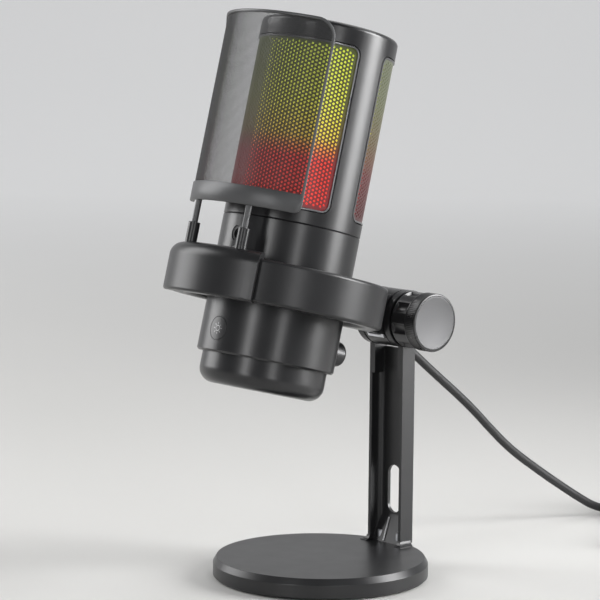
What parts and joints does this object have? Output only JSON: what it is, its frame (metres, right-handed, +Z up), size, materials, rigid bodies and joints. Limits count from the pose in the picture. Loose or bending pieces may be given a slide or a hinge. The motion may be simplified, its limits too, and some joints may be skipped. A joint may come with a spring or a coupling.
{
  "type": "desktop microphone",
  "caption": "Cylindrical desktop microphone with a curved pop filter, held in a cradle ring that tilts on a channel post over a round weighted base, with its USB cord.",
  "frame": {"origin": "middle of the base's underside, on the table", "axes": "+Z up, -Y towards the user, +X towards the tilt knob"},
  "size_m": [0.1063, 0.332, 0.2515],
  "materials": {
    "shell_black": "satin",
    "painted_stand": "satin",
    "rubber_black": "matte",
    "steel": "satin",
    "zinc_plated": "satin",
    "brass": "satin",
    "knob_disc": "matte",
    "filter_frame": "satin",
    "filter_gauze": "matte",
    "window_rim": "satin",
    "grille_metal": "satin",
    "light_tube": "matte",
    "circuit_board": "gloss",
    "foam": "matte",
    "capsule_gold": "polished",
    "part_black": "gloss",
    "plug_metal": "polished",
    "cord_jacket": "satin"
  },
  "bodies": {
    "base": {"base_shell": "painted_stand", "base_weight": "steel", "base_pad": "rubber_black", "post_screws": "zinc_plated", "post": "painted_stand", "hinge_bolt": "zinc_plated", "hinge_cap": "shell_black", "friction_washers": "steel", "knob_washer": "steel", "cord_drop": "cord_jacket", "cord_coil": "cord_jacket", "cord_tie": "rubber_black", "cord_tail": "cord_jacket", "plug_relief": "rubber_black", "plug_body": "rubber_black", "plug_shell": "plug_metal"},
    "knob": {"tilt_knob": "part_black", "knob_insert": "brass", "knob_face": "knob_disc"},
    "microphone": {"cradle_ring": "painted_stand", "hinge_bushing": "brass", "knuckle_index": "zinc_plated", "isolation_collar": "shell_black", "shock_pads": "rubber_black", "filter_clip": "painted_stand", "clip_screws": "zinc_plated", "rod_sleeves": "shell_black", "lower_body": "shell_black", "bottom_cap": "shell_black", "cap_screws": "part_black", "upper_shell": "shell_black", "top_cap": "shell_black", "front_rim": "window_rim", "back_rim": "window_rim", "front_grille": "grille_metal", "back_grille": "grille_metal", "diffuser": "light_tube", "led_strips": "circuit_board", "capsule_foam": "foam", "capsule": "capsule_gold", "capsule_mount": "part_black", "chassis": "part_black", "main_board": "circuit_board", "headphone_jack": "part_black", "jack_ring": "part_black", "button_switch": "part_black", "gain_pot": "part_black", "usb_board": "circuit_board", "usb_socket": "plug_metal", "usb_plug": "rubber_black", "usb_relief": "rubber_black", "cord_neck": "cord_jacket"},
    "pop_filter": {"filter_rods": "filter_frame", "filter_frame": "filter_frame", "filter_mesh": "filter_gauze"},
    "gain": {"gain_knob": "shell_black", "gain_shaft": "steel"},
    "button": {"front_button": "shell_black"}
  },
  "joints": [
    {"name": "mic_tilt", "type": "hinge", "parent": "base", "child": "microphone", "pos_m": [0, 0.0426, 0.113], "axis": [-1, 0, 0], "range_deg": [-35, 30]},
    {"name": "knob_turn", "type": "hinge", "parent": "base", "child": "knob", "pos_m": [0.018, 0.0426, 0.113], "axis": [1, 0, 0], "range_deg": [0, 360]},
    {"name": "filter_slide", "type": "slide", "parent": "microphone", "child": "pop_filter", "axis": [0, 0.2487, 0.9686], "range_m": [-0.008, 0.012]},
    {"name": "gain_turn", "type": "hinge", "parent": "microphone", "child": "gain", "pos_m": [0, 0.00168, 0.10079], "axis": [0, 0.9686, -0.2487], "range_deg": [-150, 150]},
    {"name": "button_press", "type": "slide", "parent": "microphone", "child": "button", "axis": [0, 0.9686, -0.2487], "range_m": [0, 0.0005], "stiffness_N_per_m": 1500, "springref_m": -0.0006}
  ]
}
